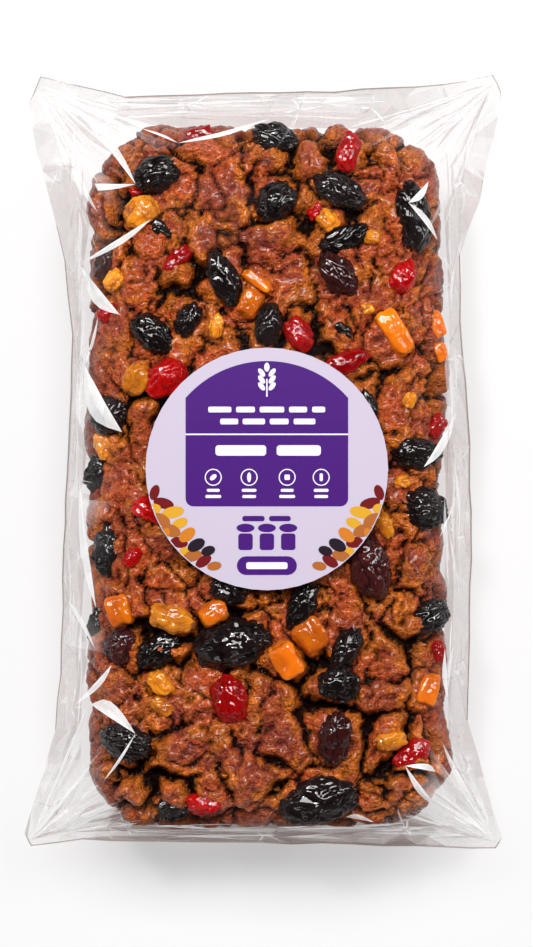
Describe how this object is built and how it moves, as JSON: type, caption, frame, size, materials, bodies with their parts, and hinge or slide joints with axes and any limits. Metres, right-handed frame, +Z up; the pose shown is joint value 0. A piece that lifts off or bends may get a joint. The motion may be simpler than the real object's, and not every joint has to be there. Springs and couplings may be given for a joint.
{
  "type": "banana bread loaf",
  "caption": "Banana bread loaf with a craggy crust full of dried fruit, lying in a sealed clear film bag with a round paper label on top.",
  "frame": {"origin": "middle of the bag's box, on the flat base that the loaf rests on", "axes": "+Z up through the label, +Y along the loaf towards its narrower end, +X across it to the right seen from above"},
  "size_m": [0.135, 0.219, 0.0646],
  "materials": {
    "clear_film": "thin clear glossy film, creased into flat facets, with four pointed corners",
    "label_paper": "smooth lilac coated paper",
    "label_print": "flat purple print",
    "crust": "craggy baked crust, red-brown with orange crumb and dark crevices, slightly shiny",
    "dark_raisin": "wrinkled near-black dried fruit with a sticky shine",
    "red_fruit": "bright red candied cherry, wrinkled and glossy",
    "orange_fruit": "orange candied fruit in soft cubes, glossy",
    "golden_fruit": "golden dried fruit, wrinkled and slightly shiny"
  },
  "bodies": {
    "root": {"film_bag": "clear_film", "label": "label_paper"}
  },
  "joints": []
}
